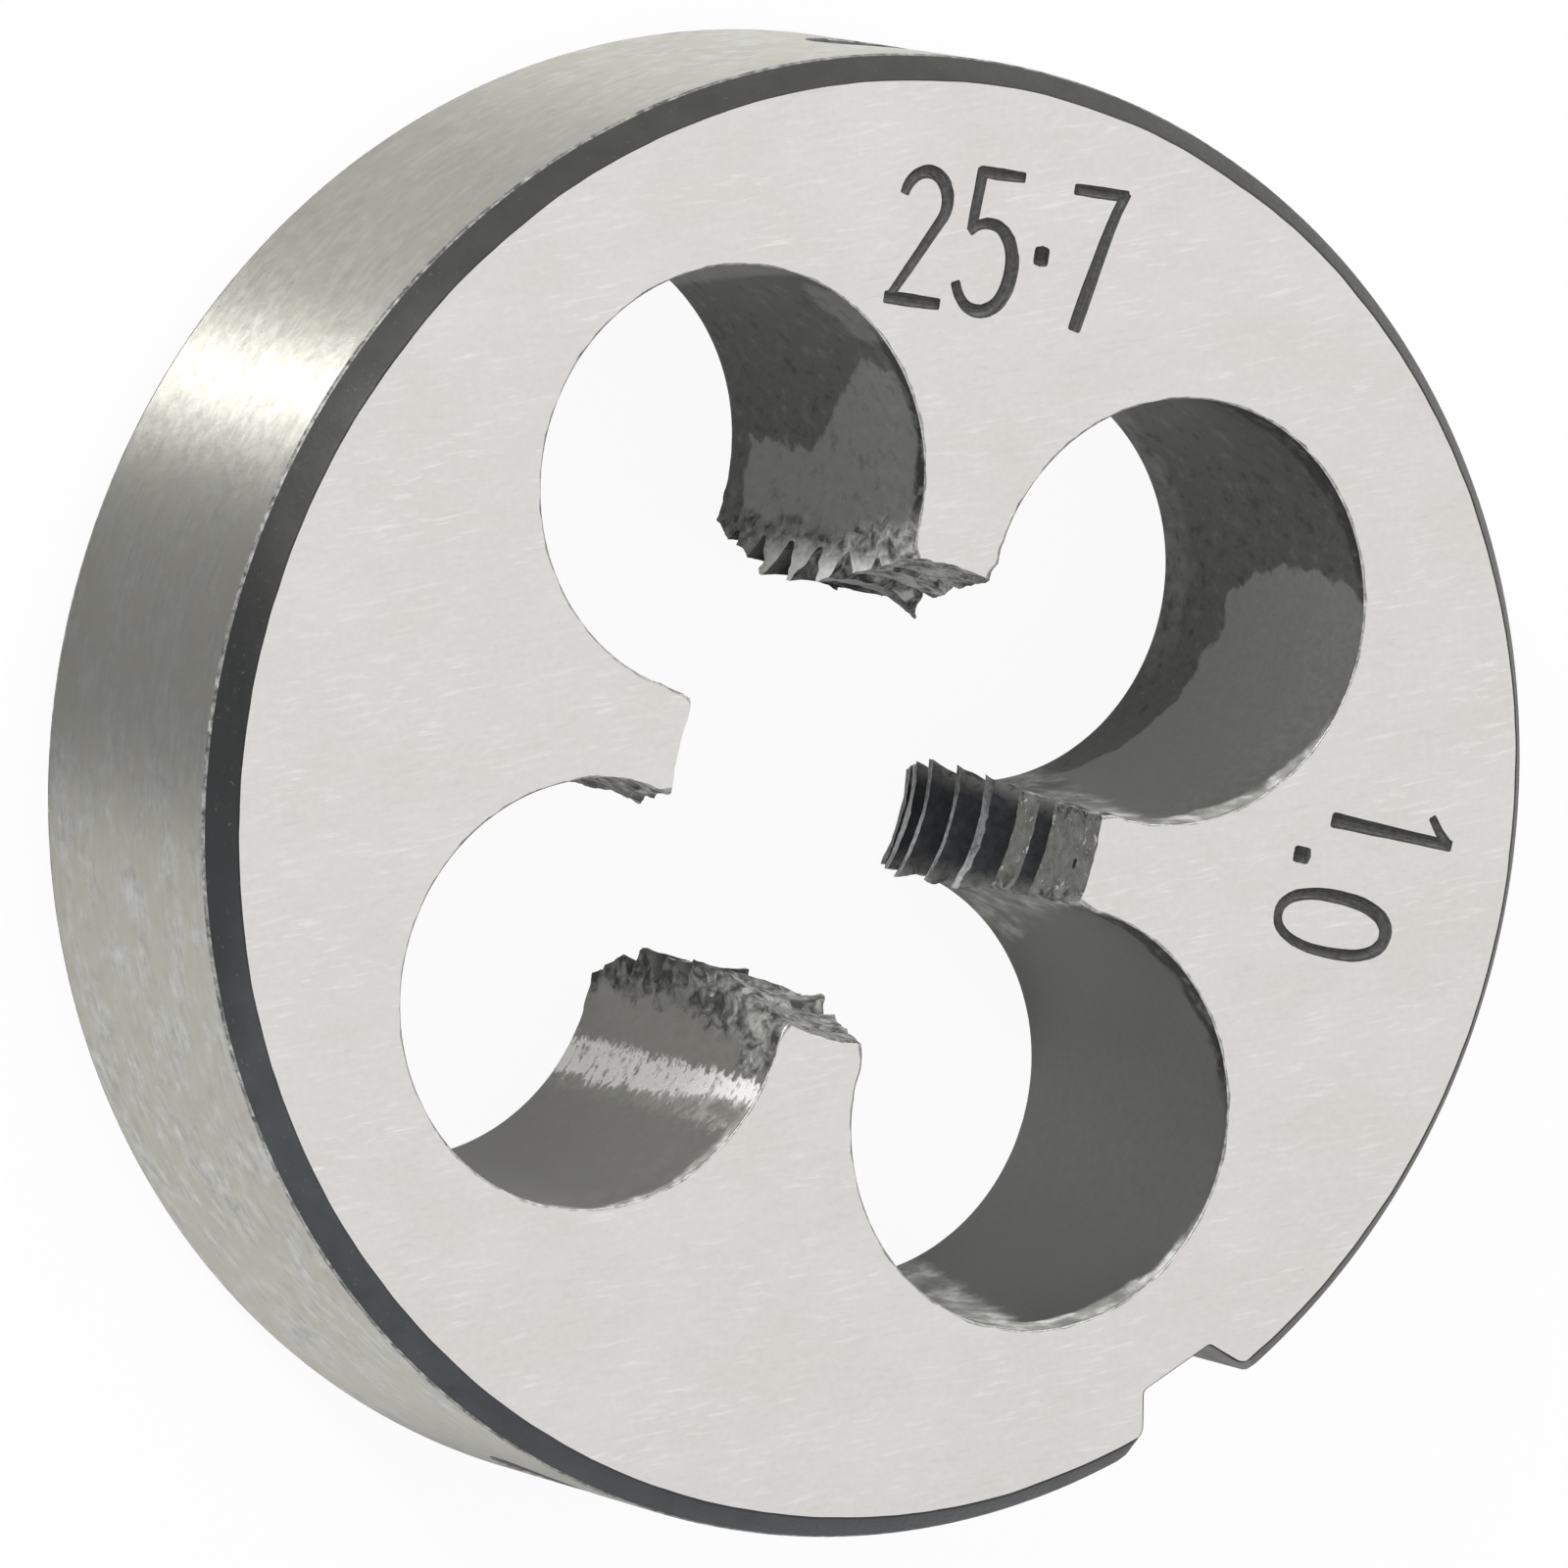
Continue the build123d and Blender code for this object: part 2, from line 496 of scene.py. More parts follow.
def seat_cutter(offset):
    """One conical seat in the rim, pointing at the axis."""
    rings = []
    stations = [(-SEAT_RADIUS, 0.02), (0.05 - SEAT_RADIUS, 0.06), (-0.03, SEAT_RADIUS - 0.03)]
    stations += [(0.0, SEAT_RADIUS + 0.01), (OVERRUN, SEAT_RADIUS + 1.2)]
    for x, radius in stations:
        ring = []
        for j in range(96):
            a = math.radians(360 * j / 96)
            spot = (RIM_RADIUS + x, radius * math.cos(a), SEAT_HEIGHT + radius * math.sin(a))
            ring.append(turned(spot, SLOT_ANGLE + offset))
        rings.append(ring)
    bands = ["seat", "seat", "bright_edge", "bright_edge"]
    return skin("seat_cutter", rings, bands, cap="seat")


# Engraved numbers


def stroke(points, widths, closed=False):
    """A groove of rounded V section along a line of points on the marked face."""
    points = [Vector((x, y, 0)) for x, y in points]
    count = len(points)
    rows = []
    for i, p in enumerate(points):
        before = points[(i - 1) % count] if closed or i else p
        after = points[(i + 1) % count] if closed or i < count - 1 else p
        ahead = (after - before).normalized()
        rows.append((p, ahead, widths[i % len(widths)], 1.0))
    if not closed:
        rows = end_rows(rows[0], -1)[::-1] + rows + end_rows(rows[-1], 1)
    rings = []
    for p, ahead, width, scale in rows:
        across = Vector((-ahead.y, ahead.x, 0))
        half = width / 2 * scale
        deep = ENGRAVED_DEPTH * scale * width / ENGRAVED_WIDTH
        section = [(-1.25, 0.25), (-0.98, -0.08), (-0.72, -0.72), (-0.25, -1.0)]
        section += [(0.25, -1.0), (0.72, -0.72), (0.98, -0.08), (1.25, 0.25)]
        ring = []
        for u, v in section:
            rough = 1 + 0.1 * ripple(p + across * u, 0.12, 4.0)
            height = v * deep if v < 0 else 0.05
            ring.append(p + across * (u * half * rough) + Vector((0, 0, THICKNESS + height)))
        rings.append(ring)
    return skin("stroke", rings, "engraved", cap="engraved", closed=closed)


def end_rows(row, way):
    """A blunt end for an open stroke."""
    p, ahead, width, _ = row
    rows = []
    for turn, scale in ((35, 0.97), (62, 0.86), (80, 0.6)):
        a = math.radians(turn)
        rows.append((p + ahead * way * width * 0.36 * math.sin(a), ahead, width, scale))
    return rows


def placed(points, foot, up):
    """Points of a number, drawn upright, moved to its foot on the face and turned."""
    moved = []
    for x, y in points:
        v = turned((x, y, 0), up - 90)
        moved.append((foot[0] + v.x, foot[1] + v.y))
    return moved


def oval(cx, cy, rx, ry, start=0.0, end=360.0, steps=40, square=2.3):
    """Points round an oval that is a little squarer than an ellipse."""
    points = []
    for i in range(steps + 1):
        a = math.radians(start + (end - start) * i / steps)
        c, s = math.cos(a), math.sin(a)
        size = (abs(c) ** square + abs(s) ** square) ** (-1 / square)
        points.append((cx + rx * size * c, cy + ry * size * s))
    return points


def swelling(count, low, high, turn=0.0):
    """Stroke widths that swell from low to high and back along a stroke."""
    widths = []
    for i in range(count):
        a = 2 * math.pi * i / count + math.radians(turn)
        widths.append(low + (high - low) * (0.5 - 0.5 * math.cos(a)))
    return widths


def zero(foot, up):
    """The number 0: a tall ring."""
    ring = placed(oval(0.56, 1.17, 0.48, 1.07)[:-1], foot, up)
    return [stroke(ring, swelling(len(ring), 0.17, 0.25, 60), closed=True)]


def one(foot, up):
    """The number 1: a plain bar with a short flag."""
    bar = placed([(0.5, 2.26 * i / 8) for i in range(9)], foot, up)
    flag = placed([(0.46, 2.2), (0.3, 2.02), (0.12, 1.86)], foot, up)
    return [
        stroke(bar, [0.26, 0.25, 0.24, 0.23, 0.22, 0.21, 0.2, 0.2, 0.2]),
        stroke(flag, [0.19, 0.17, 0.15]),
    ]


def two(foot, up):
    """The number 2: a hook that runs down to a flat foot."""
    hook = oval(0.52, 1.73, 0.42, 0.5, 165, -35, 24, 2.0)
    x, y = hook[-1]
    slide = [(x + (0.1 - x) * t, y + (0.06 - y) * t) for t in (0.2, 0.4, 0.6, 0.8, 1.0)]
    arc = placed(hook + slide, foot, up)
    base = placed([(0.08 + 0.93 * i / 6, 0.06) for i in range(7)], foot, up)
    return [
        stroke(arc, [0.18 + 0.06 * math.sin(i * 0.12) for i in range(len(arc))]),
        stroke(base, [0.22, 0.22, 0.23, 0.23, 0.22, 0.21, 0.2]),
    ]


def five(foot, up):
    """The number 5: a bar, a stem and a bowl."""
    bar = placed([(0.16 + 0.76 * i / 6, 2.36) for i in range(7)], foot, up)
    stem = placed([(0.16, 2.36), (0.14, 2.0), (0.12, 1.7), (0.11, 1.42)], foot, up)
    bowl = placed(oval(0.44, 0.78, 0.53, 0.74, 128, -152, 36, 2.1), foot, up)
    return [
        stroke(bar, [0.2, 0.2, 0.21, 0.21, 0.2, 0.19, 0.18]),
        stroke(stem, [0.21, 0.2, 0.2, 0.19]),
        stroke(bowl, swelling(len(bowl), 0.18, 0.27)),
    ]


def seven(foot, up):
    """The number 7: a bar and a slanting stem."""
    bar = placed([(0.06 + 0.92 * i / 6, 2.3) for i in range(7)], foot, up)
    stem = placed([(0.98 - 0.58 * (i / 8) ** 0.8, 2.3 - 2.28 * i / 8) for i in range(9)], foot, up)
    return [
        stroke(bar, [0.19, 0.2, 0.21, 0.21, 0.21, 0.2, 0.2]),
        stroke(stem, [0.2, 0.2, 0.21, 0.22, 0.23, 0.24, 0.25, 0.25, 0.25]),
    ]


def dot(foot, up):
    """A round punch mark."""
    return [stroke(placed([(-0.03, 0), (0, 0), (0.03, 0)], foot, up), [0.32, 0.34, 0.32])]


def engraved_numbers():
    """Plain numbers: the disc's two sizes over one land, and the pitch over the next."""
    along, up = turned((1, 0, 0), TOP_NUMBERS_UP - 90), turned((0, 1, 0), TOP_NUMBERS_UP - 90)
    start = Vector((*TOP_NUMBERS_START, 0))
    cutters = two(start, TOP_NUMBERS_UP)
    cutters += five(start + along * FIVE_ALONG, TOP_NUMBERS_UP)
    cutters += dot(start + along * DOT_ALONG + up * DOT_UP, TOP_NUMBERS_UP)
    cutters += seven(start + along * SEVEN_ALONG, TOP_NUMBERS_UP)
    cutters += one(ONE_FOOT, SIDE_NUMBERS_UP)
    cutters += dot(SIDE_DOT, SIDE_NUMBERS_UP)
    cutters += zero(ZERO_FOOT, SIDE_NUMBERS_UP)
    return cutters


# The die


def cut(body, cutters):
    """Takes each cutter out of the body, one after another."""
    for cutter in cutters:
        step = body.modifiers.new(cutter.name, "BOOLEAN")
        step.operation = "DIFFERENCE"
        step.solver = "MANIFOLD"
        step.object = cutter
    depsgraph = bpy.context.evaluated_depsgraph_get()
    mesh = bpy.data.meshes.new_from_object(body.evaluated_get(depsgraph), depsgraph=depsgraph)
    body.modifiers.clear()
    body.data = mesh
    for cutter in cutters:
        bpy.data.objects.remove(cutter)


def finish_shading(body):
    """Flat faces stay flat, and round ones are smooth up to their real edges."""
    mesh = body.data
    mesh.set_sharp_from_angle(angle=math.radians(SHARP_ANGLE))
    for face in mesh.polygons:
        z = face.center.z
        level = abs(face.normal.z) > 0.9999 and (z < 0.001 or z > THICKNESS - 0.001)
        face.use_smooth = not level


def build_die():
    body = disc()
    cutters = [hole_cutter(LAND_STEP * (i + 0.5)) for i in range(HOLE_COUNT)]
    cutters += [bore_cutter(), groove_cutter(), slot_cutter()]
    cutters += [seat_cutter(offset) for offset in SEAT_OFFSETS]
    cutters += engraved_numbers()
    cut(body, cutters)
    finish_shading(body)
    body.data.transform(Matrix.Scale(MM, 4))
    return body


# Materials


class Nodes:
    """Short calls for building a material's node tree."""

    def __init__(self, name):
        self.material = bpy.data.materials.new(name)
        self.material.use_nodes = True
        self.tree = self.material.node_tree
        self.shader = self.tree.nodes["Principled BSDF"]
        self.place = self.add("ShaderNodeTexCoord").outputs["Object"]

    def add(self, kind, **values):
        node = self.tree.nodes.new(kind)
        for key, value in values.items():
            setattr(node, key, value)
        return node

    def link(self, value, socket):
        """Joins a node's output to a socket, or sets a number or a colour on it."""
        if isinstance(value, (int, float)):
            socket.default_value = value
        elif isinstance(value, tuple):
            socket.default_value = (*value, 1)
        else:
            self.tree.links.new(value, socket)

    def stretched(self, across, turn):
        """Coordinates in features per millimetre along x, y and z, turned about z first."""
        spin = self.add("ShaderNodeMapping")
        spin.inputs["Rotation"].default_value = (0, 0, math.radians(-turn))
        self.link(self.place, spin.inputs["Vector"])
        size = self.add("ShaderNodeMapping")
        size.inputs["Scale"].default_value = [a / MM for a in across]
        self.link(spin.outputs["Vector"], size.inputs["Vector"])
        return size.outputs["Vector"]

    def vector(self, operation, value, fixed=(0, 0, 0)):
        """A vector calculation on an output, with a fixed second value if it has one."""
        node = self.add("ShaderNodeVectorMath", operation=operation)
        node.inputs[1].default_value = fixed
        self.link(value, node.inputs[0])
        return node

    def along(self, azimuth):
        """How far a point lies towards an azimuth, in metres."""
        return self.vector("DOT_PRODUCT", self.place, polar(1.0, azimuth)).outputs["Value"]

    def across(self, axis):
        """How far a point lies along one axis, in metres."""
        node = self.add("ShaderNodeSeparateXYZ")
        self.link(self.place, node.inputs["Vector"])
        return node.outputs[axis]

    def size(self, vector):
        """A vector's length in plan."""
        flat = self.vector("MULTIPLY", vector, (1, 1, 0))
        return self.vector("LENGTH", flat.outputs["Vector"]).outputs["Value"]

    def noise(self, across, detail, rough, distort=0.0, turn=0.0):
        node = self.add("ShaderNodeTexNoise")
        node.inputs["Scale"].default_value = 1.0
        node.inputs["Detail"].default_value = detail
        node.inputs["Roughness"].default_value = rough
        node.inputs["Distortion"].default_value = distort
        self.link(self.stretched(across, turn), node.inputs["Vector"])
        return node.outputs["Fac"]

    def ramp(self, fac, stops):
        node = self.add("ShaderNodeValToRGB")
        elements = node.color_ramp.elements
        while len(elements) < len(stops):
            elements.new(0.5)
        for element, (spot, colour) in zip(elements, stops):
            element.position = spot
            element.color = (*colour, 1)
        self.link(fac, node.inputs["Fac"])
        return node.outputs["Color"]

    def span(self, fac, low, high, to_low=0.0, to_high=1.0):
        node = self.add("ShaderNodeMapRange")
        ends = {"From Min": low, "From Max": high, "To Min": to_low, "To Max": to_high}
        for key, value in ends.items():
            node.inputs[key].default_value = value
        self.link(fac, node.inputs["Value"])
        return node.outputs["Result"]

    def math(self, operation, *values):
        node = self.add("ShaderNodeMath", operation=operation)
        for socket, value in zip(node.inputs, values):
            self.link(value, socket)
        return node.outputs["Value"]

    def times(self, a, b):
        return self.math("MULTIPLY", a, b)

    def plus(self, a, b):
        return self.math("ADD", a, b)

    def minus(self, a, b):
        return self.math("SUBTRACT", a, b)

    def line(self, x, slope, start):
        """A straight line: x times its slope, from its start."""
        return self.math("MULTIPLY_ADD", x, slope, start)

    def squared(self, x):
        return self.math("POWER", self.math("ABSOLUTE", x), 2.0)

    def above(self, a, b, soft):
        """Mask that is 1 where a is above b, softened over a distance."""
        return self.span(self.minus(a, b), -soft, soft)

    def both(self, *masks):
        """Mask that is 1 where every one of them is 1."""
        return reduce(self.times, masks)

    def either(self, *masks):
        """Mask that is 1 where one of them is 1."""
        return reduce(lambda a, b: self.math("MAXIMUM", a, b), masks)

    def blend(self, fac, a, b, kind="MIX"):
        node = self.add("ShaderNodeMix", data_type="RGBA", blend_type=kind)
        self.link(fac, node.inputs["Factor"])
        for key, value in (("A", a), ("B", b)):
            socket = [s for s in node.inputs if s.name == key and s.type == "RGBA"][0]
            self.link(value, socket)
        return [s for s in node.outputs if s.type == "RGBA"][0]

    def bump(self, height, depth_mm, before=None):
        node = self.add("ShaderNodeBump")
        node.inputs["Strength"].default_value = 1.0
        node.inputs["Distance"].default_value = depth_mm * MM
        self.link(height, node.inputs["Height"])
        if before is not None:
            self.link(before, node.inputs["Normal"])
        return node.outputs["Normal"]

    def finish(self, colour, roughness, normal=None, **constants):
        self.link(colour, self.shader.inputs["Base Color"])
        self.link(roughness, self.shader.inputs["Roughness"])
        if normal is not None:
            self.link(normal, self.shader.inputs["Normal"])
        for key, value in constants.items():
            name = key.replace("_", " ").title().replace("Ior", "IOR")
            self.shader.inputs[name].default_value = value
        return self.material


def ground_face():
    """Pale surface-ground steel: short faint grinding marks over a soft warm mottle."""
    n = Nodes("ground_face")
    marks = n.noise((1.5, 12, 1), 3.0, 0.55, 0.4, turn=24)
    sparse = n.noise((0.5, 1.1, 1), 2.0, 0.6, turn=22)
    mottle = n.noise((0.45, 0.6, 1), 3.0, 0.6, turn=25)
    grain = n.noise((7, 9, 1), 3.0, 0.6, turn=25)
    shade = n.plus(n.times(mottle, 0.65), n.times(grain, 0.35))
    colour = n.ramp(shade, [(0.34, (0.655, 0.635, 0.605)), (0.66, (0.735, 0.72, 0.70))])
    light = n.times(n.span(marks, 0.54, 0.72), n.span(sparse, 0.42, 0.6))
    dark = n.times(n.span(marks, 0.46, 0.3), n.span(sparse, 0.55, 0.36))
    colour = n.blend(n.times(light, 0.55), colour, (0.88, 0.87, 0.85))
    colour = n.blend(n.times(dark, 0.22), colour, (0.5, 0.485, 0.46))
    rough = n.span(mottle, 0.3, 0.7, 0.38, 0.46)
    normal = n.bump(marks, 0.0012)
    normal = n.bump(mottle, 0.004, before=normal)
    return n.finish(colour, rough, normal, metallic=1.0)


def ground_rim():
    """Satin steel, turned and ground round the rim, with a greenish mottle and painted shade."""
    n = Nodes("ground_rim")
    lines = n.noise((0.9, 0.9, 11), 3.0, 0.6)
    pebbles = n.noise((3.2, 3.2, 4.2), 4.0, 0.62)
    mottle = n.noise((1.1, 1.1, 1.3), 3.0, 0.6)
    shade = n.plus(n.times(lines, 0.32), n.times(pebbles, 0.68))
    colour = n.ramp(shade, [(0.36, (0.31, 0.31, 0.29)), (0.64, (0.52, 0.52, 0.505))])
    olive_and_painted_shade = n.span(mottle, 0.36, 0.6, 0.0, 0.8)
    # Painted shade: besides its greenish mottle, the rim is tinted darker and greener towards azimuth
    # 150.
    olive_and_painted_shade = n.either(olive_and_painted_shade, n.span(n.along(150), 9 * MM, 12 * MM, 0.0, 0.55))
    colour = n.blend(olive_and_painted_shade, colour, (0.405, 0.395, 0.34))
    # Painted dark reflection: the rim darkens towards azimuth 180, the dim side of the surroundings.
    painted_dark_reflection = n.span(n.along(180), 11.8 * MM, 12.35 * MM, 0.0, 0.4)
    colour = n.blend(painted_dark_reflection, colour, (0.2, 0.2, 0.19))
    rough = n.span(pebbles, 0.3, 0.7, 0.38, 0.45)
    normal = n.bump(lines, 0.003)
    normal = n.bump(pebbles, 0.0045, before=normal)
    tangent = n.add("ShaderNodeTangent", direction_type="RADIAL", axis="Z")
    n.link(tangent.outputs["Tangent"], n.shader.inputs["Tangent"])
    return n.finish(colour, rough, normal, metallic=1.0, anisotropic=1.0, anisotropic_rotation=0.25)


def black_chamfer():
    """A chamfer left dark from hardening, slightly mottled, a little bluer on one side, with painted
    shade.
    """
    n = Nodes("black_chamfer")
    mottle = n.noise((1.6, 1.6, 1.6), 3.0, 0.55)
    specks = n.noise((11, 11, 11), 2.0, 0.6)
    warm = n.ramp(mottle, [(0.3, (0.029, 0.03, 0.026)), (0.75, (0.041, 0.041, 0.036))])
    cool = n.ramp(mottle, [(0.3, (0.031, 0.034, 0.038)), (0.75, (0.044, 0.048, 0.053))])
    colour = n.blend(n.span(n.along(250), 4 * MM, 11 * MM), warm, cool)
    # Painted shade: the chamfer darkens further towards azimuth 193, the dim side.
    painted_dark_side = n.span(n.along(193), 11.5 * MM, 12.1 * MM, 0.0, 0.8)
    colour = n.blend(painted_dark_side, colour, (0.016, 0.017, 0.018))
    colour = n.blend(n.span(specks, 0.66, 0.8, 0.0, 0.3), colour, (0.2, 0.19, 0.18))
    rough = n.span(specks, 0.3, 0.7, 0.36, 0.48)
    return n.finish(colour, rough, n.bump(specks, 0.003), metallic=0.0, specular_ior_level=0.21)


def worn_edge(name, dark, middle, light):
    """A worn edge, bare in places and still dark in others."""
    n = Nodes(name)
    specks = n.noise((6, 6, 6), 3.0, 0.65)
    stops = [(0.36, dark), (0.52, middle), (0.7, light)]
    colour = n.ramp(specks, [(spot, (v, v, v * 0.96)) for spot, v in stops])
    rough = n.span(specks, 0.3, 0.7, 0.42, 0.6)
    return n.finish(colour, rough, n.bump(specks, 0.006), metallic=1.0)


def bright_edge():
    return worn_edge("bright_edge", 0.10, 0.28, 0.5)


def mouth_edge():
    return worn_edge("mouth_edge", 0.25, 0.42, 0.6)


class WallSpot:
    """Where a point lies on its chip hole's wall, which hole it is, and the wall's noises."""

    def __init__(self, n):
        offset = HOLE_OFFSET * MM
        sides = []
        for axis in ("Y", "X"):
            fold = n.math("FLOORED_MODULO", n.across(axis), 2 * offset)
            sides.append(n.minus(fold, offset))
        self.turn = n.times(n.math("ARCTAN2", *sides), 180 / math.pi)
        self.z = n.math("DIVIDE", n.across("Z"), MM)
        self.below = n.span(n.across("Y"), 0.5 * MM, -0.5 * MM)
        self.left = n.span(n.across("X"), 0.5 * MM, -0.5 * MM)
        self.upper = n.minus(1.0, self.below)
        self.right = n.minus(1.0, self.left)
        self.grain = n.noise((7, 7, 5), 4.0, 0.65)
        self.spots = n.noise((3.2, 3.2, 2.6), 3.0, 0.6)
        drift = n.noise((1.7, 1.7, 1.7), 4.0, 0.55)
        self.wander = n.minus(drift, 0.5)


def hole_wall():
    """Dark drilled wall, with painted sheen in patches, chipped and torn along its edges.

    One hole has a painted highlight: a bright streaky stripe down its wall.
    """
    n = Nodes("hole_wall")
    spot = WallSpot(n)
    colour = wall_colour(n, spot)
    colour = n.blend(dark_lip(n, spot), colour, (0.07, 0.07, 0.065))
    chips = chipped_band(n, spot)
    mixed = n.noise((2.4, 2.4, 1.5), 3.0, 0.55)
    stops = [(0.36, (0.25, 0.25, 0.225)), (0.52, (0.46, 0.46, 0.425)), (0.66, (0.82, 0.82, 0.79))]
    colour = n.blend(chips, colour, n.ramp(mixed, stops))
    # Painted highlight: a near-white streaky stripe in the lower left hole, greyer at its border.
    painted_highlight, highlight_streaks = painted_highlight_stripe(n, spot)
    colour = n.blend(painted_highlight, colour, highlight_streaks)
    torn, lumps = torn_zone(n, spot)
    stops = [(0.38, (0.05, 0.05, 0.045)), (0.5, (0.2, 0.2, 0.185)), (0.66, (0.52, 0.52, 0.49))]
    colour = n.blend(torn, colour, n.ramp(lumps, stops))
    # Painted highlight on steel worn bare: the upper land's teeth are made near-white.
    tips_and_highlight = worn_tips_and_highlight(n, spot)
    colour = n.blend(tips_and_highlight, colour, (0.98, 0.98, 0.95))
    bare = n.times(n.either(chips, torn), 0.65)
    # The painted highlight is also less metallic towards the marked face, so that it shows bright.
    pale = n.times(painted_highlight, n.span(spot.z, 3.0, 6.5, 0.0, 0.8))
    metal = n.minus(1.0, n.either(bare, tips_and_highlight, pale))
    n.link(metal, n.shader.inputs["Metallic"])
    rough = n.span(spot.grain, 0.3, 0.7, 0.4, 0.55)
    rough = n.times(rough, n.span(painted_highlight, 0.0, 1.0, 1.0, 0.6))
    normal = n.bump(n.noise((1.2, 1.2, 14), 3.0, 0.6), 0.003)
    normal = n.bump(spot.grain, 0.008, before=normal)
    normal = n.bump(n.times(lumps, torn), 0.05, before=normal)
    return n.finish(colour, rough, normal)


def wall_colour(n, spot):
    """Oxide colour: painted sheen patches in the upper holes; plain, under painted shade, in the lower.
    """
    dark = n.ramp(spot.grain, [(0.34, (0.122, 0.122, 0.118)), (0.66, (0.178, 0.178, 0.172))])
    dark = n.blend(n.span(spot.spots, 0.56, 0.72, 0.0, 0.6), dark, (0.26, 0.26, 0.25))
    dark = n.blend(n.span(spot.spots, 0.42, 0.3, 0.0, 0.6), dark, (0.055, 0.055, 0.052))
    back_band = n.both(n.above(0.85, spot.z, 0.15), n.above(spot.turn, -8.0, 6.0), spot.right)
    back_band = n.both(back_band, n.span(spot.spots, 0.36, 0.6, 0.1, 0.75))
    dark = n.blend(back_band, dark, (0.27, 0.27, 0.26))
    # Painted sheen: a lighter colour laid in patches on the upper holes' walls.
    thin = n.ramp(spot.grain, [(0.34, (0.292, 0.297, 0.268)), (0.66, (0.362, 0.367, 0.333))])
    stained = n.times(n.span(spot.spots, 0.45, 0.3, 0.0, 0.5), spot.left)
    thin = n.blend(stained, thin, (0.15, 0.15, 0.14))
    plain = n.ramp(spot.grain, [(0.34, (0.196, 0.196, 0.191)), (0.66, (0.238, 0.238, 0.231))])
    pale = n.ramp(spot.grain, [(0.34, (0.345, 0.34, 0.313)), (0.66, (0.41, 0.405, 0.378))])
    ragged = n.times(spot.wander, 14.0)
    sheen_patch = n.blend(spot.left, right_sheen_patch(n, spot, ragged), left_sheen_patch(n, spot, ragged))
    colour = n.blend(sheen_patch, dark, thin)
    # Painted shade: the lower holes' walls darken towards turn -60 and lighten towards turn 0.
    shade = n.span(spot.turn, -60.0, 0.0, 0.82, 1.08)
    lower = n.blend(1.0, n.blend(spot.left, plain, pale), shade, "MULTIPLY")
    return n.blend(spot.below, colour, lower)


def right_sheen_patch(n, spot, ragged):
    """Mask of painted sheen in the upper right hole: rounded towards the top, clear of both faces."""
    sag = n.squared(n.minus(spot.z, 5.0))
    edge = n.plus(n.line(sag, -1.5, 23.0), ragged)
    height = n.line(spot.wander, 0.9, spot.z)
    clear = n.above(height, n.line(spot.turn, 0.022, 2.1), 0.06)
    return n.both(n.above(edge, spot.turn, 0.8), clear)


def left_sheen_patch(n, spot, ragged):
    """Mask of painted sheen in the upper left hole: wider towards the marked face, and a spot beyond."""
    reach = n.span(spot.z, 3.0, 5.15, 17.0, 45.0)
    height = n.line(spot.wander, 0.9, spot.z)
    near = n.above(n.plus(reach, ragged), spot.turn, 0.8)
    near = n.both(near, n.above(height, 0.75, 0.06))
    across = n.squared(n.line(spot.turn, 1 / 12, -66 / 12))
    up = n.squared(n.line(spot.z, 1 / 0.8, -6.4 / 0.8))
    away = n.line(spot.wander, 2.0, n.plus(across, up))
    brow = n.above(spot.turn, n.line(spot.z, 3.4, 63.0), 1.2)
    return n.either(near, n.times(n.either(n.above(1.0, away, 0.3), brow), 0.8))


def dark_lip(n, spot):
    """Mask of a dark edge along the marked face, high in three holes."""
    height = n.line(spot.wander, 0.8, spot.z)
    edge = n.above(height, n.line(spot.turn, -0.01, 6.95), 0.08)
    high = n.both(edge, n.above(spot.turn, 20.0, 6.0), n.above(110.0, spot.turn, 10.0), spot.right)
    thin = n.both(n.above(spot.turn, 0.0, 6.0), n.above(58.0, spot.turn, 5.0))
    thin = n.both(thin, n.above(height, 6.68, 0.08), spot.left, spot.upper)
    return n.times(n.either(high, thin), n.span(spot.spots, 0.66, 0.52))


def chipped_band(n, spot):
    """Light chipped steel along a lower edge of three holes, and lumps beside one land."""
    height = n.line(spot.wander, 0.7, spot.z)
    slope = n.line(n.plus(spot.turn, 15.0), 0.0145, 6.95)
    top = n.above(height, n.blend(spot.left, slope, (6.77, 6.77, 6.77)), 0.09)
    ragged = n.times(spot.wander, 12.0)
    foot = n.plus(n.line(spot.z, -3.1, -52.0), n.line(spot.upper, -3.5, ragged))
    foot = n.above(foot, spot.turn, 2.2)
    low = n.either(top, n.times(foot, spot.right))
    low = n.both(low, n.above(-14.0, spot.turn, 5.0), n.above(spot.turn, -110.0, 10.0))
    low = n.both(low, n.either(spot.right, spot.below))
    side = n.above(spot.turn, n.plus(n.line(spot.z, 6.5, 51.0), ragged), 3.0)
    side = n.both(side, spot.below, spot.right, n.above(100.0, spot.turn, 8.0))
    return n.either(low, n.times(side, 0.75))


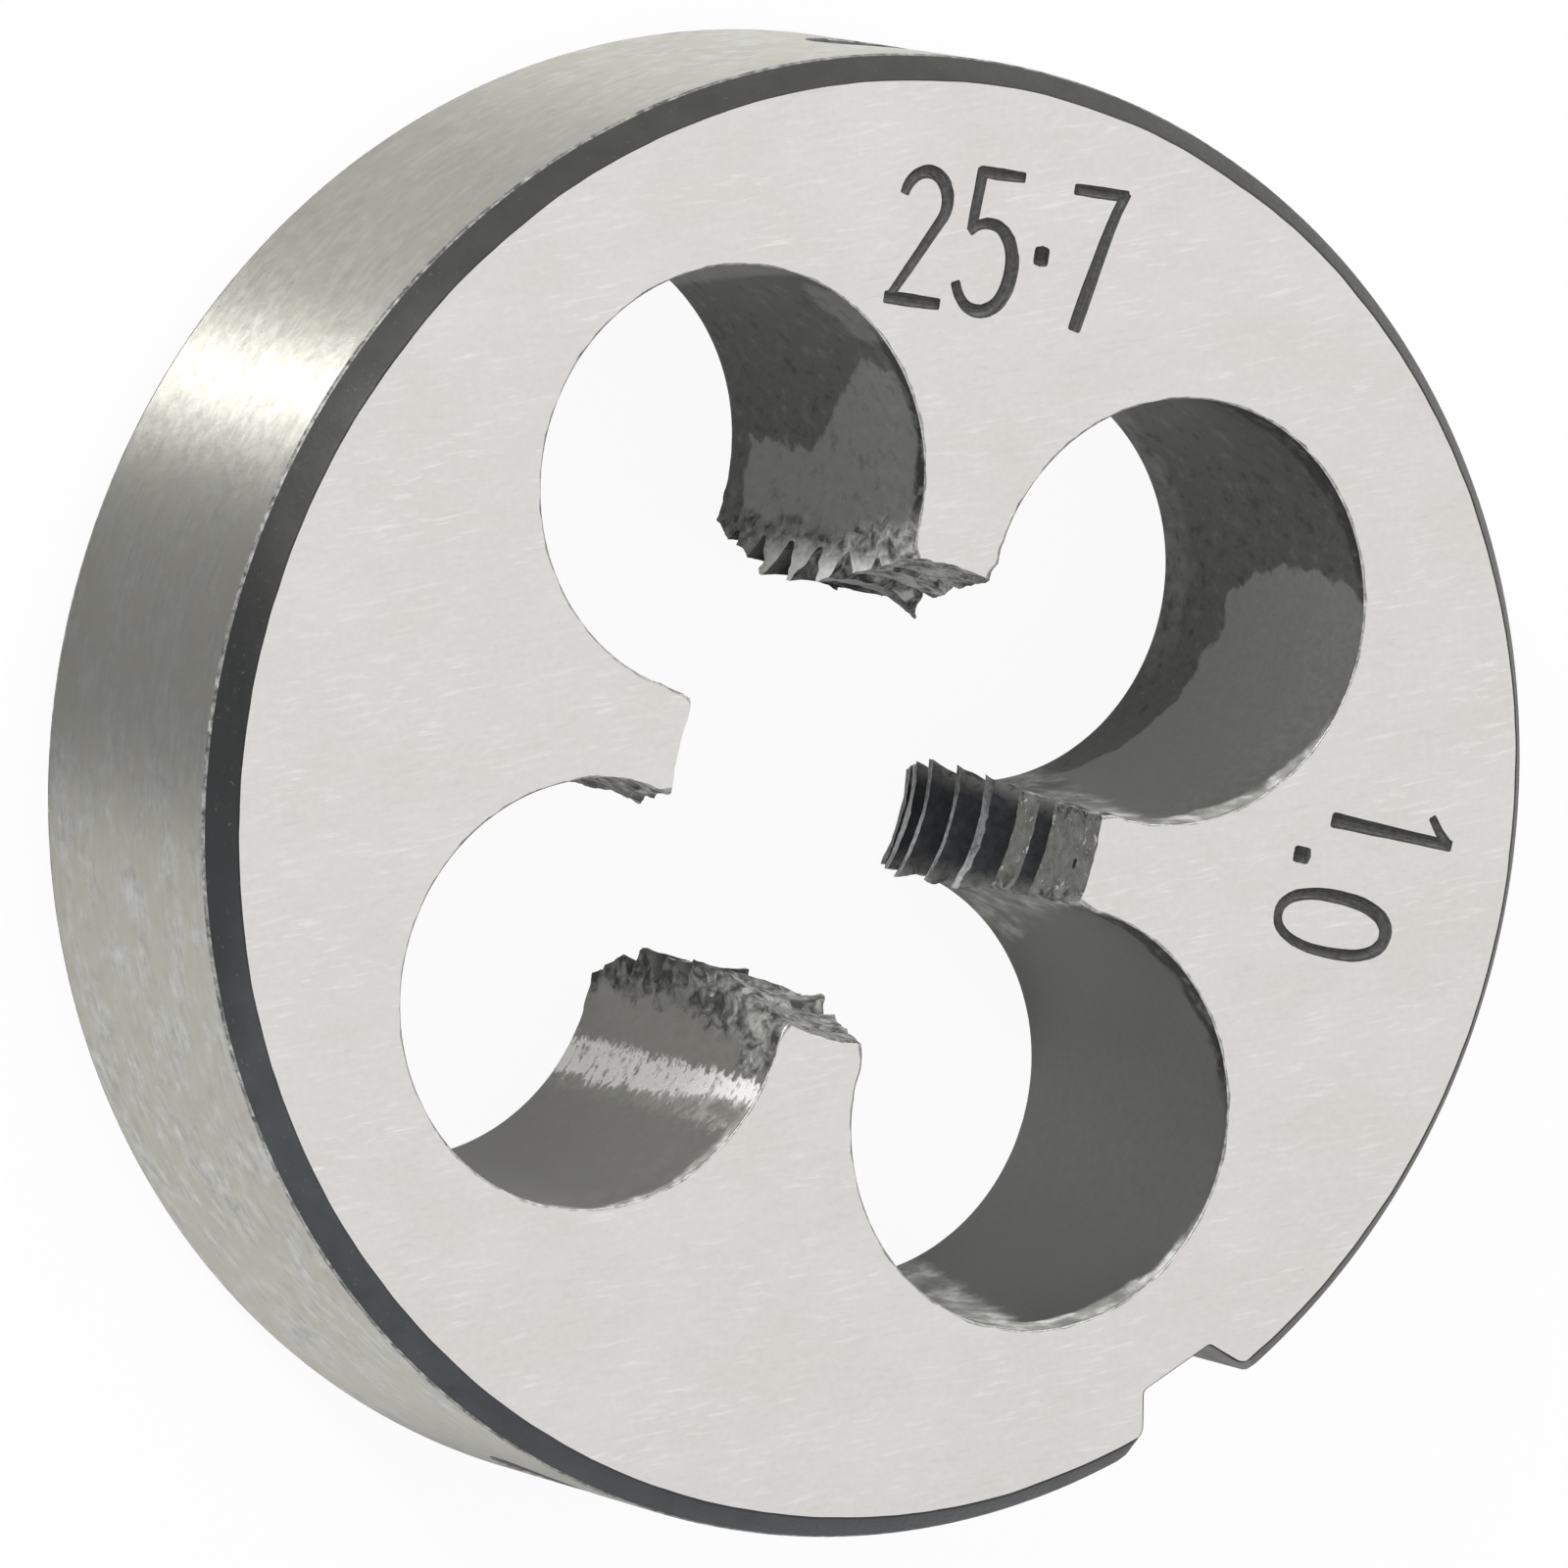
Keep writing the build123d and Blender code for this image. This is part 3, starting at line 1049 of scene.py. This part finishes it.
def painted_highlight_stripe(n, spot):
    """Mask and colour of a painted highlight: a streaky stripe along one hole's wall, with a grey
    border.
    """
    highlight_streaks = n.noise((2.6, 3.2, 5), 4.0, 0.7, 0.3)
    ragged = n.times(n.minus(highlight_streaks, 0.5), 16.0)
    turn = n.plus(spot.turn, ragged)
    border = n.span(spot.z, 3.5, 5.5, -22.0, -17.5)
    core = n.both(n.above(turn, border, 1.0), n.above(-10.8, turn, 0.8))
    rim = n.both(n.above(turn, -25.5, 1.5), n.above(-10.8, turn, 0.8))
    rim = n.times(rim, n.span(spot.spots, 0.4, 0.55, 0.2, 0.9))
    # Near-white painted highlight in the stripe's core, grey in its border.
    bright = n.ramp(highlight_streaks, [(0.34, (0.38, 0.375, 0.34)), (0.46, (1.0, 0.99, 0.97))])
    colour = n.blend(core, (0.42, 0.415, 0.38), bright)
    return n.both(n.either(core, rim), spot.below, spot.left), colour


def torn_zone(n, spot):
    """Mask of the torn steel next to the thread, wider towards the marked face, and its lumps."""
    lumps = n.noise((3.8, 3.8, 3.0), 5.0, 0.62, 0.5)
    lean = n.times(n.math("MAXIMUM", n.across("Z"), 3.5 * MM), 0.2)
    ragged = n.times(n.plus(spot.wander, lumps), 0.9 * MM)
    away = n.plus(n.minus(n.size(n.place), lean), ragged)
    near = n.span(away, 4.1 * MM, 3.75 * MM)
    height = n.line(spot.wander, 1.2, spot.z)
    turn = n.line(spot.wander, 12.0, spot.turn)
    crumbled = n.both(n.above(height, 5.85, 0.08), n.above(turn, -9.0, 1.0))
    crumbled = n.both(crumbled, n.above(30.0, turn, 5.0))
    return n.either(near, n.both(crumbled, spot.below, spot.left)), lumps


def worn_tips_and_highlight(n, spot):
    """Mask of the teeth's ends on the upper land: rubbed bare, with a painted highlight."""
    away = n.plus(n.size(n.place), n.times(spot.grain, 0.4 * MM))
    near = n.span(away, 4.3 * MM, 3.85 * MM)
    high = n.span(n.across("Z"), 1.6 * MM, 2.4 * MM, 0.1, 0.9)
    return n.both(near, n.span(n.across("Y"), 2 * MM, 3 * MM), high)


def thread_flank():
    """Smooth blue-black groove, torn and greyer where it runs out in a chip hole."""
    n = Nodes("thread_flank")
    grain = n.noise((6, 6, 9), 3.0, 0.6)
    lumps = n.noise((3.5, 3.5, 4.5), 4.0, 0.62, 0.8)
    colour = n.ramp(grain, [(0.3, (0.009, 0.0105, 0.013)), (0.75, (0.028, 0.029, 0.031))])
    tears = n.ramp(lumps, [(0.4, (0.045, 0.045, 0.042)), (0.64, (0.22, 0.22, 0.205))])
    colour = n.blend(near_wall(n, lumps), colour, tears)
    stops = [(0.38, (0.03, 0.03, 0.028)), (0.5, (0.14, 0.14, 0.13)), (0.64, (0.38, 0.38, 0.36))]
    colour = n.blend(scraped_lands(n), colour, n.ramp(lumps, stops))
    return n.finish(colour, 0.45, n.bump(grain, 0.006), metallic=0.0, specular_ior_level=0.22)


def scraped_lands(n):
    """Mask of the upper and lower lands' steel towards the marked face."""
    off_axis = n.math("ABSOLUTE", n.across("Y"))
    high = n.span(n.across("Z"), 3.2 * MM, 4.0 * MM)
    return n.times(n.span(off_axis, 2.2 * MM, 2.9 * MM), high)


def near_wall(n, lumps):
    """Mask of the steel within a few tenths of a millimetre of a chip hole's wall."""
    centre = (HOLE_OFFSET * MM, HOLE_OFFSET * MM, 0)
    fold = n.vector("ABSOLUTE", n.place)
    shift = n.vector("SUBTRACT", fold.outputs["Vector"], centre)
    ragged = n.times(n.minus(lumps, 0.5), 0.9 * MM)
    away = n.plus(n.size(shift.outputs["Vector"]), ragged)
    return n.span(away, (HOLE_RADIUS + 0.36) * MM, (HOLE_RADIUS + 0.02) * MM)


def thread_crest():
    """Bare bright crest, slightly blue."""
    n = Nodes("thread_crest")
    grain = n.noise((8, 8, 12), 3.0, 0.65)
    patches = n.noise((0.9, 0.9, 1.3), 2.0, 0.5)
    mixed = n.plus(n.times(grain, 0.45), n.times(patches, 0.55))
    colour = n.ramp(mixed, [(0.38, (0.14, 0.144, 0.15)), (0.62, (0.7, 0.71, 0.72))])
    shade = n.span(n.across("Y"), -0.6 * MM, 0.6 * MM, 1.15, 0.5)
    colour = n.blend(1.0, colour, shade, "MULTIPLY")
    return n.finish(colour, 0.42, n.bump(grain, 0.01), metallic=0.8)


def lead_cone():
    """Torn grey steel in the leads, with a few bright specks."""
    n = Nodes("lead_cone")
    grain = n.noise((4, 4, 6), 4.0, 0.65)
    lumps = n.noise((3.5, 3.5, 4.5), 4.0, 0.62, 0.8)
    specks = n.noise((6, 6, 8), 3.0, 0.65, 0.6)
    colour = n.ramp(grain, [(0.34, (0.15, 0.15, 0.14)), (0.64, (0.25, 0.25, 0.235))])
    tears = n.ramp(lumps, [(0.4, (0.07, 0.07, 0.065)), (0.62, (0.4, 0.4, 0.38))])
    scraped = n.ramp(lumps, [(0.38, (0.1, 0.1, 0.095)), (0.62, (0.62, 0.62, 0.6))])
    colour = n.blend(n.times(scraped_lands(n), 0.8), colour, scraped)
    colour = n.blend(near_wall(n, lumps), colour, tears)
    colour = n.blend(n.span(specks, 0.6, 0.7, 0.0, 0.85), colour, (0.75, 0.75, 0.72))
    return n.finish(colour, 0.5, n.bump(grain, 0.03), metallic=0.7)


def engraved():
    """Dark cut metal inside the numbers."""
    n = Nodes("engraved")
    grain = n.noise((10, 10, 10), 3.0, 0.6)
    colour = n.ramp(grain, [(0.3, (0.06, 0.06, 0.058)), (0.75, (0.13, 0.13, 0.125))])
    return n.finish(colour, 0.5, n.bump(grain, 0.006), metallic=0.5)


def slot_wall():
    """Milled grey steel in the slot."""
    n = Nodes("slot_wall")
    lines = n.noise((1.6, 1.6, 0.7), 4.0, 0.6, 0.3)
    colour = n.ramp(lines, [(0.38, (0.02, 0.02, 0.018)), (0.6, (0.11, 0.11, 0.105))])
    return n.finish(colour, 0.42, n.bump(lines, 0.006), metallic=1.0)


def seat():
    """Dark drilled cone."""
    n = Nodes("seat")
    grain = n.noise((5, 5, 5), 3.0, 0.6)
    colour = n.ramp(grain, [(0.3, (0.05, 0.05, 0.05)), (0.72, (0.14, 0.14, 0.135))])
    return n.finish(colour, 0.45, n.bump(grain, 0.006), metallic=1.0)


def floor_material():
    """Plain pale ground that shows white and keeps a soft shadow."""
    n = Nodes("pale_floor")
    grain = n.noise((0.05, 0.05, 0.05), 2.0, 0.5)
    colour = n.ramp(grain, [(0.3, (0.76, 0.76, 0.76)), (0.7, (0.8, 0.8, 0.8))])
    n.finish(colour, 0.8)
    rays = n.add("ShaderNodeLightPath")
    seen = n.either(rays.outputs["Is Camera Ray"], rays.outputs["Is Transmission Ray"])
    seen = n.times(seen, FLOOR_GLOW)
    mirrored = n.times(rays.outputs["Is Glossy Ray"], MIRRORED_GLOW)
    white = n.add("ShaderNodeEmission")
    mix = n.add("ShaderNodeMixShader")
    n.link(n.either(seen, mirrored), mix.inputs["Fac"])
    n.link(n.shader.outputs["BSDF"], mix.inputs[1])
    n.link(white.outputs["Emission"], mix.inputs[2])
    out = n.tree.nodes["Material Output"]
    n.link(mix.outputs["Shader"], out.inputs["Surface"])
    return n.material


# The scene


def make_floor():
    mesh = bpy.data.meshes.new("floor")
    ways = ((-1, -1), (1, -1), (1, 1), (-1, 1))
    corners = [(x * FLOOR_REACH, y * FLOOR_REACH, 0) for x, y in ways]
    mesh.from_pydata(corners, [], [(0, 1, 2, 3)])
    mesh.materials.append(floor_material())
    floor = bpy.data.objects.new("floor", mesh)
    floor.location.z = -FLOOR_GAP * MM
    bpy.context.collection.objects.link(floor)


def make_world():
    """Soft pale surroundings with a tall dim strip on one side."""
    world = bpy.data.worlds.new("studio")
    bpy.context.scene.world = world
    world.use_nodes = True
    tree = world.node_tree
    sky = tree.nodes["Background"]
    place = tree.nodes.new("ShaderNodeTexCoord")
    side = tree.nodes.new("ShaderNodeVectorMath")
    side.operation = "DOT_PRODUCT"
    side.inputs[1].default_value = DIM_SIDE
    ramp = tree.nodes.new("ShaderNodeValToRGB")
    ramp.color_ramp.interpolation = "EASE"
    low, high = ramp.color_ramp.elements
    low.position, low.color = DIM_FROM, (0.95, 0.95, 0.95, 1)
    high.position, high.color = DIM_FULL, (0.02, 0.02, 0.02, 1)
    tall = tree.nodes.new("ShaderNodeVectorMath")
    tall.operation = "MULTIPLY"
    tall.inputs[1].default_value = (1, 1, 0.1)
    unit = tree.nodes.new("ShaderNodeVectorMath")
    unit.operation = "NORMALIZE"
    tree.links.new(place.outputs["Generated"], tall.inputs[0])
    tree.links.new(tall.outputs["Vector"], unit.inputs[0])
    tree.links.new(unit.outputs["Vector"], side.inputs[0])
    tree.links.new(side.outputs["Value"], ramp.inputs["Fac"])
    tree.links.new(ramp.outputs["Color"], sky.inputs["Color"])
    sky.inputs["Strength"].default_value = SKY_STRENGTH


def lamp(name, azimuth, elevation, distance, width, height, power):
    """An area lamp that faces the die from a direction."""
    data = bpy.data.lights.new(name, "AREA")
    data.shape = "RECTANGLE"
    data.size = width
    data.size_y = height
    data.energy = power
    light = bpy.data.objects.new(name, data)
    a, e = math.radians(azimuth), math.radians(elevation)
    away = Vector((math.cos(a) * math.cos(e), math.sin(a) * math.cos(e), math.sin(e)))
    light.location = away * distance + Vector((0, 0, THICKNESS / 2 * MM))
    light.rotation_euler = away.to_track_quat("Z", "Y").to_euler()
    bpy.context.collection.objects.link(light)


def make_camera():
    """Where the photograph was taken from, on the die's scale."""
    data = bpy.data.cameras.new("camera")
    data.sensor_width = 36.0
    data.lens = CAMERA_LENS
    data.clip_start = 0.01
    data.clip_end = 10.0
    camera = bpy.data.objects.new("camera", data)
    turn = Matrix((CAMERA_RIGHT, CAMERA_UP, CAMERA_BACK)).transposed().to_4x4()
    camera.matrix_world = Matrix.Translation(Vector(CAMERA_PLACE) * MM) @ turn
    bpy.context.collection.objects.link(camera)
    bpy.context.scene.camera = camera


def make_materials():
    for build in (ground_face, ground_rim, black_chamfer, bright_edge, mouth_edge, hole_wall,
                  thread_flank, thread_crest, lead_cone, engraved, slot_wall, seat):
        build()


make_materials()
die = build_die()
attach(die, "root")
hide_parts("die_body")
make_floor()
make_world()
for name, setting in LAMPS.items():
    lamp(name, *setting)
make_camera()
bpy.context.scene.view_settings.view_transform = "Standard"
